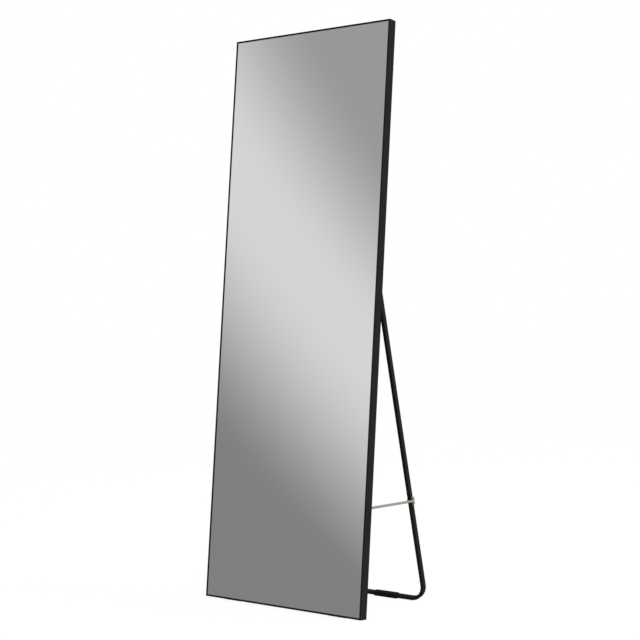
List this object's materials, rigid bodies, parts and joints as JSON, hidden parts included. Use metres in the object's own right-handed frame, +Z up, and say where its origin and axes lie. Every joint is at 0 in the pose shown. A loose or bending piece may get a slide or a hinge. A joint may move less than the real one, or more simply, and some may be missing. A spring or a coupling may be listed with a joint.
{
  "type": "leaning floor mirror",
  "caption": "Tall leaning floor mirror in a thin black frame, held up from behind by a hinged U-shaped tube stand that stop cords hold open.",
  "frame": {"origin": "on the floor, at the centre of the object's box", "axes": "+X to the viewer's right along the mirror's width, +Y from the mirror's face to the stand behind it, +Z up"},
  "size_m": [0.567, 0.3392, 1.6486],
  "materials": {
    "frame_black": "satin black anodised",
    "silvered_glass": "silvered float glass",
    "white_foam": "closed-cell foam",
    "hardboard": "smooth brown hardboard",
    "cast_keys": "as cast",
    "black_steel": "satin black powder coat",
    "zinc_steel": "bright zinc plate",
    "black_nylon": "moulded nylon",
    "black_rubber": "matte soft rubber",
    "beige_cord": "twisted cotton cord"
  },
  "bodies": {
    "panel": {"frame_left_stile": "frame_black", "frame_right_stile": "frame_black", "frame_top_rail": "frame_black", "frame_bottom_rail": "frame_black", "mirror_glass": "silvered_glass", "foam_sheet": "white_foam", "backing_board": "hardboard", "corner_keys": "cast_keys", "corner_screws": "zinc_steel", "hinge_bracket_left": "black_steel", "hinge_bracket_right": "black_steel", "bracket_screws": "zinc_steel", "pivot_bolts": "zinc_steel", "pivot_nuts": "zinc_steel", "pivot_washers": "black_nylon", "hanger_plates": "zinc_steel", "hanger_screws": "zinc_steel", "floor_pads": "black_rubber", "cord_grommets": "black_nylon", "cord_stop_knots": "beige_cord", "stop_cord_left": "beige_cord", "stop_cord_right": "beige_cord"},
    "stand": {"stand_tube": "black_steel", "pivot_insert_left": "black_nylon", "pivot_insert_right": "black_nylon", "insert_rivets": "zinc_steel", "foot_sleeve_left": "black_rubber", "foot_sleeve_right": "black_rubber", "cord_knot_left": "beige_cord", "cord_knot_right": "beige_cord"}
  },
  "joints": [
    {"name": "stand_hinge", "type": "hinge", "parent": "panel", "child": "stand", "pos_m": [0, -0.05512, 0.91818], "axis": [-1, 0, 0], "range_deg": [0, 18.1], "deforming": ["stop_cord_left", "stop_cord_right"]}
  ]
}
